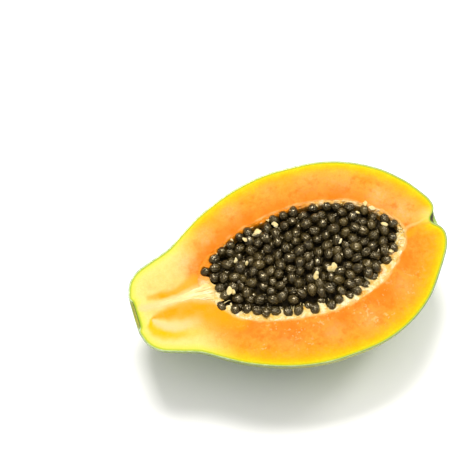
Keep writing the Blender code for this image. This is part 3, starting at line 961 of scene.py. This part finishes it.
def seed_material():
    made, tree, shader = new_material(
        "papaya seed coat", Specular_IOR_Level=1.0, Specular_Tint=(1.0, 0.84, 0.54, 1.0),
    )
    here, tint = coordinates(tree), attribute(tree, "tint")
    colour = ramp(
        tint, (0.0, (0.004, 0.0025, 0.0010)), (0.35, (0.012, 0.0080, 0.0024)),
        (0.75, (0.031, 0.0210, 0.0058)), (1.0, (0.105, 0.0700, 0.0175)),
    )
    # Painted sheen: the colour is paler where a seed is seen edge-on, standing for the clear coat's
    # reflection. Under the coat, ridges show dark and olive.
    edge_sheen = add(tree, "ShaderNodeLayerWeight", {"Blend": 0.35})["Facing"]
    colour = blend(edge_sheen.maths("POWER", 1.8) * 0.30, colour, (0.075, 0.050, 0.014))
    warts = mottle(here, 1100.0, 0.35, 0.65, 1.0)
    # Fine ridges run along each seed, from its own place on the oval.
    own = attribute(tree, "own place", "Vector")
    own = add(tree, "ShaderNodeMapping", {"Vector": own, "Scale": (1.0, 1.0, 0.28)})[0]
    own = own.vector("ADD", {1: joined_vector(tree, X=tint * 37.0, Y=tint * 11.0)})
    ridges = mottle(own, 2.6, 0.38, 0.62, 1.0)
    colour = blend(ridges * 0.50, colour, (0.090, 0.061, 0.014))
    colour = blend(warts * 0.50, colour, (0.010, 0.0065, 0.0025))
    connect(
        shader, Base_Color=colour, Normal=bump(ridges * 1.1 + warts * 0.25, 0.00024, 0.8),
        Roughness=warts.slope(0.0, 1.0, 0.06, 0.13),
    )
    return made


draw = random.Random(5)
all_seeds = top_seeds + deep_seeds
seed_tints = []
for centre, _, _ in top_seeds:
    dry = smooth_step(0.0 * MM, 6.0 * MM, centre.y - 14.0 * MM - 0.12 * centre.x)
    seed_tints.append(draw.random() ** 1.5 * 0.9 * (1.0 - 0.6 * dry))
# The deeper seeds get only the darkest tints: painted shade under the seeds over them.
seed_tints += [0.2 * draw.random() for _ in deep_seeds]
seed_kinds = [draw.randrange(4) for _ in all_seeds]
seeds = new_piece("seed_heap", points_mesh(all_seeds, seed_tints, seed_kinds))
grow(seeds, seed_heap_tree(4), {
    "Half Length": SEED_HALF_SIZES[0], "Half Width": SEED_SLIMMER * SEED_HALF_SIZES[1],
    "Half Thickness": SEED_SLIMMER * SEED_HALF_SIZES[2],
    "Sides": 10, "Rings": 7, "Dents": 0.16, "Seed": 4, "Material": seed_material(),
})
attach(seeds, "root")
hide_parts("seeds")

# Mass of deeper seeds
# Under the two layers of single seeds, the rest of the heap is one dark, moist body that fills the hollow.
# It is only seen in the gaps, so it is a plain closed form, lower than the seeds everywhere.
MASS_STEPS = 110
MASS_WALL_ROWS, MASS_TOP_ROWS = 9, 16
MASS_BELOW_CENTRES = 3.6 * MM
MASS_INSET = 2.4 * MM


def mass_top(x, y):
    return CUT_HEIGHT + heap_height(x, y) - MASS_BELOW_CENTRES


def mass_material():
    made, tree, shader = new_material("deep seeds", Specular_IOR_Level=0.1)
    lumps = mottle(coordinates(tree), 300.0, 0.35, 0.65, 2.0)
    connect(
        shader, Base_Color=blend(lumps, (0.006, 0.004, 0.002), (0.026, 0.018, 0.007)),
        Normal=bump(lumps, 0.0012, 0.8), Roughness=lumps.slope(0.0, 1.0, 0.8, 0.6),
    )
    return made


mass_stations = round_the_face(MASS_STEPS)
mass_rows = []
for r in range(MASS_WALL_ROWS + 1):
    row = [cavity_point(s, angle_at(side, r / MASS_WALL_ROWS), MASS_INSET) for s, side in mass_stations]
    for point in row:
        point.z = min(point.z, mass_top(point.x, point.y))
    mass_rows.append(row)
for r in range(1, MASS_TOP_ROWS + 1):
    row = []
    for point in mass_rows[MASS_WALL_ROWS]:
        inner = Vector((point.x, point.y + (cavity_centre(point.x) - point.y) * r / MASS_TOP_ROWS, 0.0))
        inner.z = mass_top(inner.x, inner.y)
        row.append(inner)
    mass_rows.append(row)
mass = new_piece("seed_mass", loft(mass_rows))
face_outwards(mass)
mass.data.materials.append(mass_material())
mass.data.shade_smooth()
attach(mass, "root")
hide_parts("seeds")

# Pulp lining
# The placenta: soft, cream, crumbly pulp that lines the hollow. It is thick on the near side, thin on the far
# side, and torn along its inner edge, where the seeds came away or still stick in it.
PULP_STEPS = 420
PULP_FAR, PULP_NEAR = 1.5 * MM, 6.4 * MM        # width of the torn edge, seen from above
PULP_SLOPE = 0.9 * MM
PULP_LIP = 0.30 * MM
PULP_OVER_EDGE = 0.9 * MM       # the pulp runs out over the rounded edge of the flesh
PULP_TOP_ROWS = 22
SEED_AT_RIM = 2.55 * MM         # half width of a seed, as the pulp goes round it
SEED_REACH = 3.0 * MM           # a seed holds the pulp back if it lies no further from the rim's level
SHELF_WIDTH, SHELF_FALL = 8.0 * MM, 1.3 * MM
EDGE_UNDER_FLESH = 0.35 * MM
CRUMB_HEIGHT = 0.85 * MM
SHELF_DROP = 0.02 * MM          # a shelf lies this far under the cut face, level with the flesh round it
# Where it is orange like the flesh
AMBER_SPOTS = (
    (-44.5, 12.0, 7.5, 1.0), (-37.5, 18.5, 5.0, 1.0), (-24.0, 24.5, 6.0, 0.6), (54.5, 9.0, 6.5, 0.9),
    (49.0, 19.5, 5.0, 0.7), (52.6, -6.8, 2.4, 0.8), (44.0, -15.5, 2.0, 0.6), (31.0, -22.5, 2.0, 0.6),
)
# Where the vessels make it pale and level
VESSEL_SPOTS = ((-44.5, 0.0, 5.0, 1.0), (-37.5, 7.0, 2.6, 0.9))


def pulp_width(point):
    """Most width of the torn edge at a point of the rim."""
    low = smooth_step(8.0 * MM, -10.0 * MM, point.y)
    width = PULP_FAR + (PULP_NEAR - PULP_FAR) * low
    width *= 1.0 - 0.35 * smooth_step(-15.0 * MM, -38.0 * MM, point.x)
    width += SHELF_WIDTH * blobs(point, SHELVES)
    torn = noise.noise(point / (7.0 * MM)) + 0.9 * noise.noise(point / (1.6 * MM))
    return max(0.9 * MM, width * (1.0 + 0.34 * torn))


def free_width(point, towards, most):
    """How far the pulp reaches from a rim point before it meets a seed. It is pointed between two seeds."""
    reach = most
    for centre, _, size in top_seeds:
        if abs(centre.z - CUT_HEIGHT + 1.0 * MM) < SEED_REACH:
            away = Vector((centre.x - point.x, centre.y - point.y))
            ahead = away.dot(towards)
            aside = abs(away.x * towards.y - away.y * towards.x)
            radius = SEED_AT_RIM * size
            if aside < radius and ahead > 0.0:
                reach = min(reach, ahead - math.sqrt(radius**2 - aside**2) + 0.35 * MM)
    return max(reach, 0.9 * MM)


def crumbs_at(point):
    """Height of the crumbly surface at a point, from about -1 to 1."""
    return (
        1.0 * noise.noise(point / (2.6 * MM)) + 0.9 * abs(noise.noise(point / (1.3 * MM)))
        + 0.25 * noise.noise(point / (0.6 * MM)) - 0.25
    )


def pulp_material():
    made, tree, shader = new_material(
        "papaya pulp", Specular_IOR_Level=0.2, Subsurface_Weight=0.15, Subsurface_Scale=0.002,
        Subsurface_Radius=(1.0, 0.6, 0.25),
    )
    here = coordinates(tree)
    grain = mottle(here, 800.0, 0.3, 0.7, 3.0)
    cloud = mottle(here, 210.0, 0.35, 0.65, 2.0)
    # Painted shade: lower down in the hollow the pulp turns dark brown.
    low = parts(here)["Z"].fade(CUT_HEIGHT - 1.2 * MM, CUT_HEIGHT - 4.0 * MM)
    # Pale cream on the vessels and on the crumbs' tops, golden in the crumbs' hollows: partly the pulp's own
    # tones, partly painted highlight on the tops and painted shade in the hollows.
    crests = blend(cloud, (0.67, 0.550, 0.250), (0.71, 0.650, 0.420))
    valleys = blend(cloud, (0.58, 0.330, 0.050), (0.63, 0.420, 0.110))
    colour = blend(attribute(tree, "crest"), valleys, crests)
    colour = blend(grain * 0.15, colour, (0.62, 0.380, 0.080))
    colour = blend(attribute(tree, "amber"), colour, (0.60, 0.185, 0.001))
    colour = blend(low * 0.85, colour, (0.36, 0.170, 0.020))
    connect(
        shader, Base_Color=colour, Normal=bump(grain, 0.0003, 0.8),
        Roughness=grain.slope(0.0, 1.0, 0.40, 0.62),
    )
    return made


pulp_rows = []
pulp_stations = round_the_face(PULP_STEPS)
for r in range(9):
    pulp_rows.append([cavity_point(s, angle_at(side, r / 9), 0.05 * MM) for s, side in pulp_stations])
rim_points = [cavity_point(s, angle_at(side, 1.0), 0.05 * MM) for s, side in pulp_stations]
inner_rim = [cavity_point(s, angle_at(side, 1.0), 1.0 * MM) for s, side in pulp_stations]
widths = []
for point, inner in zip(rim_points, inner_rim):
    towards = Vector((inner.x - point.x, inner.y - point.y)).normalized()
    widths.append(free_width(point, towards, pulp_width(point)))
for r in range(PULP_TOP_ROWS + 1):
    t = r / PULP_TOP_ROWS
    row = []
    for (s, side), width in zip(pulp_stations, widths):
        point = cavity_point(s, angle_at(side, 1.0), width * t - PULP_OVER_EDGE * (1.0 - t) ** 8)
        shelf = blobs(point, SHELVES)
        drop = PULP_LIP + PULP_SLOPE * t ** 1.5 - CRUMB_HEIGHT * crumbs_at(point) * smooth_step(0.0, 0.12, t)
        point.z -= drop * (1.0 - shelf) + (SHELF_DROP + SHELF_FALL * t ** 4) * shelf
        point.z -= EDGE_UNDER_FLESH * (1.0 - t) ** 16
        point.z = min(point.z, CUT_HEIGHT + 0.3 * MM)
        row.append(point)
    pulp_rows.append(row)
for r in range(1, 13):
    rise = 1.0 - r / 12
    row = []
    for (s, side), width in zip(pulp_stations, widths):
        inset = 0.05 * MM + min(width, 3.6 * MM) + (width - min(width, 3.6 * MM)) * rise ** 2
        point = cavity_point(s, angle_at(side, rise), inset)
        point.z -= (PULP_LIP + PULP_SLOPE) * smooth_step(0.5, 1.0, rise)
        row.append(point)
    pulp_rows.append(row)
pulp_marks = {"amber": [], "crest": []}
for row in pulp_rows:
    for point in row:
        far = smooth_step(2.0 * MM, 12.0 * MM, point.y)
        far *= 1.0 - 0.7 * smooth_step(12.0 * MM, 28.0 * MM, point.x)
        vessels = blobs(point, VESSEL_SPOTS)
        pulp_marks["amber"].append(max(far, blobs(point, AMBER_SPOTS)) * (1.0 - vessels))
        # The crest mask is 1 on the vessels and on the crumbs' tops, which are painted paler as a highlight,
        # and 0 in the crumbs' hollows, painted shade.
        pulp_marks["crest"].append(max(vessels, smooth_step(-0.5, 0.6, crumbs_at(point))))
pulp = new_piece("pulp_lining", loft(pulp_rows))
for name, values in pulp_marks.items():
    keep_values(pulp.data, name, values)
face_outwards(pulp)
pulp_skin = pulp_material()
pulp.data.materials.append(pulp_skin)
pulp.data.shade_smooth()
pulp.data.set_sharp_from_angle(angle=math.radians(75.0))
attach(pulp, "root")
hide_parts("placenta")

# Vessels and threads
# Pale vessels that run from the stalk through the neck and fan out over the hollow's tip, and short threads
# of pulp that the seeds hung on. Geometry Nodes make each a round strand along its own line.
VESSEL_LINE = (
    (-77.0, 2.4, 1.0), (-70.0, 1.5, 1.4), (-65.0, 1.6, 1.3), (-58.0, 1.6, 1.5), (-52.0, 1.6, 2.2),
    (-47.0, 1.0, 3.4), (-42.5, 0.5, 4.2), (-38.6, 0.2, 4.6),
)
VESSELS = 34
VESSEL_RADIUS = 0.34 * MM
VESSEL_SUNK = 0.24 * MM         # depth of a vessel's middle under the cut face, where it runs in the flesh
VESSEL_STEPS = 34
THREADS = 30


def strand_tree():
    """Round strands along the edges of a wire mesh, as thick at each point as its attribute says."""
    tree, given, result = shape_tree("strands", Float=("Radius",), Int=("Sides",))
    lines = add(tree, "GeometryNodeMeshToCurve", {"Mesh": given["Geometry"]})[0]
    thick = named_value(tree, "thick")
    sized = add(tree, "GeometryNodeSetCurveRadius", {"Curve": lines, "Radius": thick})[0]
    ring = add(tree, "GeometryNodeCurvePrimitiveCircle", {
        "Resolution": given["Sides"], "Radius": given["Radius"],
    })[0]
    tube = add(tree, "GeometryNodeCurveToMesh", {
        "Curve": sized, "Profile Curve": ring, "Scale": thick, "Fill Caps": True,
    })[0]
    end_shape(smoothed(realized(tube)), given, result)
    return tree


def wire_mesh(lines):
    """A wire mesh of some lines, each a list of (point, thickness share)."""
    points, edges = [], []
    for line in lines:
        edges += [(len(points) + k, len(points) + k + 1) for k in range(len(line) - 1)]
        points += line
    mesh = bpy.data.meshes.new("lines")
    mesh.from_pydata([point for point, _ in points], edges, [])
    keep_values(mesh, "thick", [share for _, share in points])
    return mesh


def vessel_material():
    made, tree, shader = new_material("papaya vessels", Specular_IOR_Level=0.25)
    in_neck = parts(coordinates(tree))["X"].fade(-0.048, -0.062)
    streaks = mottle(coordinates(tree, 0.25), 520.0, 0.35, 0.65, 3.0)
    colour = blend(streaks, (0.67, 0.490, 0.170), (0.69, 0.610, 0.330))
    connect(
        shader, Base_Color=blend(in_neck, colour, (0.65, 0.520, 0.205)), Normal=bump(streaks, 0.0002, 0.6),
        Roughness=streaks.slope(0.0, 1.0, 0.42, 0.6),
    )
    return made


spin = random.Random(8)
lines = []
for k in range(VESSELS):
    across = -1.0 + 2.0 * (k + spin.random()) / VESSELS
    start, end = 0.45 * spin.random(), 1.0 - 0.07 * spin.random()
    if 0.0 < across < 0.45:
        end -= 0.16
    sunk = VESSEL_SUNK + 0.10 * MM * spin.random()
    phase = spin.uniform(0.0, 6.3)
    line = []
    for step in range(VESSEL_STEPS + 1):
        t = start + (end - start) * step / VESSEL_STEPS
        x, y, half_width = spline(VESSEL_LINE, t)
        waver = 0.12 * math.sin(9.0 * t + phase) + 0.06 * math.sin(31.0 * t + 2.0 * phase)
        y += half_width * (across * 0.92 + waver)
        over = smooth_step(-43.0, -37.6, x)
        rise = 0.25 * (1.0 - across ** 4) * smooth_step(-50.0, -46.0, x)
        z = CUT_HEIGHT - sunk + (rise - (1.2 + 1.4 * across ** 2) * over) * MM
        swell = 0.45 + 0.55 * smooth_step(-62.0, -48.0, x)
        fray = 0.4 + 0.6 * smooth_step(1.0, 0.9, step / VESSEL_STEPS)
        line.append((Vector((x * MM, y * MM, z + 0.10 * MM * (1.0 - swell))), swell * fray))
    lines.append(line)
for _ in range(THREADS):
    share = spin.uniform(0.06, 0.90)
    tip = cavity_point(share, math.pi, spin.uniform(3.0, 8.5) * MM)
    root = cavity_point(share + spin.uniform(-0.02, 0.02), math.pi, 0.6 * MM)
    tip.z -= spin.uniform(0.2, 2.0) * MM
    root.z -= spin.uniform(1.0, 2.0) * MM
    bend = Vector((spin.uniform(-1.6, 1.6), spin.uniform(-1.2, 1.2), spin.uniform(-0.4, 0.8))) * MM
    thick = spin.uniform(0.5, 1.1)
    line = []
    for step in range(7):
        t = step / 6
        line.append((root.lerp(tip, t) + bend * math.sin(math.pi * t), thick * (1.0 - 0.75 * t)))
    lines.append(line)
vessels = new_piece("vessels", wire_mesh(lines))
grow(vessels, strand_tree(), {"Radius": VESSEL_RADIUS, "Sides": 7, "Material": vessel_material()})
face_outwards(vessels)
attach(vessels, "root")
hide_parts("placenta")

# Scraps of pulp
# Torn crumbs of the same pulp that stick between the seeds and along the rim. Geometry Nodes set them on
# named places and on seeded ones.
SCRAP_CHANCE = 0.30
# Scraps that can be seen one by one: (x, y, size), in millimetres, with 1 for a scrap 2.3 mm long
NAMED_SCRAPS = (
    (21.6, -6.3, 2.0), (19.6, -7.0, 1.9), (11.3, -8.5, 1.8), (12.0, -7.4, 1.4), (-33.0, -2.6, 2.1),
    (-31.4, -3.6, 1.7), (0.2, 24.6, 1.8), (-9.3, 23.6, 1.9), (-11.5, 22.6, 1.3), (-17.0, 21.5, 1.6),
    (29.3, 6.2, 1.3), (48.2, 21.6, 1.5), (-20.0, 8.8, 1.2), (53.7, 7.6, 1.7), (50.9, 18.4, 1.6),
    (52.4, -6.8, 1.6), (43.0, 18.0, 1.1), (-25.0, 12.0, 1.2),
)


def scrap_tree():
    """Lumpy crumbs set on points."""
    tree, given, result = shape_tree(
        "scraps", Float=("Length", "Width", "Thickness", "Roughness", "Paleness"), Int=("Seed",),
    )
    ball = add(tree, "GeometryNodeMeshIcoSphere", {"Radius": 1.0, "Subdivisions": 2})[0]
    stretch = joined_vector(tree, X=given["Length"], Y=given["Width"], Z=given["Thickness"])
    laid = set_on_points(given, add(tree, "GeometryNodeTransform", {"Geometry": ball, "Scale": stretch})[0])
    place = add(tree, "GeometryNodeInputPosition")[0]
    lump = add(tree, "ShaderNodeTexNoise", {
        "Vector": place, "W": given["Seed"], "Scale": 520.0, "Detail": 3.0,
    }, noise_dimensions="4D")["Color"]
    push = lump.vector("ADD", {1: (-0.5, -0.5, -0.5)}).vector("SCALE", {"Scale": given["Roughness"]})
    rough = add(tree, "GeometryNodeSetPosition", {"Geometry": laid, "Offset": push})[0]
    end_shape(add(tree, "GeometryNodeStoreNamedAttribute", {
        "Geometry": rough, "Name": "crest", "Value": given["Paleness"],
    }, data_type="FLOAT", domain="POINT")[0], given, result)
    return tree


def tossed_turn():
    """A turn that leaves a scrap nearly flat."""
    return Euler([toss.uniform(-0.6, 0.6), toss.uniform(-0.6, 0.6), toss.uniform(0, 6.3)])


toss = random.Random(12)
scrap_places = []
for x, y, size in NAMED_SCRAPS:
    x, y = x * MM, y * MM
    centre = Vector((x, y, CUT_HEIGHT + heap_height(x, y) + 2.1 * MM))
    scrap_places.append((centre, tossed_turn(), size))
for point, width in zip(rim_points, widths):
    if toss.random() < SCRAP_CHANCE and blobs(point, SHELVES) < 0.25:
        inwards = (Vector((5.0 * MM, cavity_centre(point.x), point.z)) - point).normalized()
        centre = point + inwards * width * toss.uniform(0.15, 1.15)
        centre.z = CUT_HEIGHT - toss.uniform(0.8, 2.6) * MM
        scrap_places.append((centre, tossed_turn(), toss.uniform(0.35, 0.95)))
scraps = new_piece("pulp_scraps", points_mesh(
    scrap_places, [0.0] * len(scrap_places), [0] * len(scrap_places),
))
grow(scraps, scrap_tree(), {
    "Length": 1.15 * MM, "Width": 0.75 * MM, "Thickness": 0.35 * MM, "Roughness": 1.9 * MM, "Paleness": 0.72,
    "Seed": 3, "Material": pulp_skin,
})
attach(scraps, "root")
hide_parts("placenta")

# Camera, floor and light
# A pale table top under a large soft light from behind and above, with white walls all round.
camera_data = bpy.data.cameras.new("camera")
camera_data.lens = 111.0
camera_data.sensor_width = 36.0
camera = bpy.data.objects.new("camera", camera_data)
camera.location = (-0.0981, -0.2202, 0.7543)
aim = Vector((-0.0204, 0.0243, 0.0495))
camera.rotation_euler = (aim - camera.location).to_track_quat("-Z", "Y").to_euler()
bpy.context.scene.collection.objects.link(camera)
bpy.context.scene.camera = camera

floor_mesh = bpy.data.meshes.new("floor")
floor_mesh.from_pydata([(-3, -3, 0), (3, -3, 0), (3, 3, 0), (-3, 3, 0)], [], [(0, 1, 2, 3)])
floor_mesh.materials.append(new_material(
    "pale floor", Base_Color=(0.93, 0.915, 0.90, 1.0), Roughness=0.7, Specular_IOR_Level=0.2,
)[0])
floor = new_piece("floor", floor_mesh)


def add_lamp(name, place, towards, size, power, colour):
    lamp_data = bpy.data.lights.new(name, "AREA")
    lamp_data.shape = "RECTANGLE"
    lamp_data.size, lamp_data.size_y = size
    lamp_data.energy = power
    lamp_data.color = colour
    lamp = bpy.data.objects.new(name, lamp_data)
    lamp.location = place
    lamp.rotation_euler = (Vector(towards) - Vector(place)).to_track_quat("-Z", "Y").to_euler()
    bpy.context.scene.collection.objects.link(lamp)


add_lamp("softbox_back", (0.04, 0.50, 1.12), (0.0, 0.0, 0.05), (0.42, 0.30), 14.0, (1.0, 0.99, 0.97))
add_lamp("softbox_right", (0.8, 0.25, 0.8), (0.0, 0.0, 0.05), (0.25, 0.25), 3.0, (1.0, 1.0, 1.0))
add_lamp("softbox_top", (0.1, 0.1, 1.4), (0.0, 0.0, 0.05), (1.2, 1.2), 8.9, (1.0, 1.0, 1.0))
add_lamp("softbox_front", (-0.5, -0.9, 0.9), (0.0, 0.0, 0.05), (0.8, 0.5), 0.7, (1.0, 1.0, 1.0))
world = bpy.data.worlds.new("studio")
world.use_nodes = True
world.node_tree.nodes["Background"].inputs["Color"].default_value = (1.0, 1.0, 1.0, 1.0)
world.node_tree.nodes["Background"].inputs["Strength"].default_value = 0.45
bpy.context.scene.world = world
bpy.context.scene.view_settings.view_transform = "Standard"
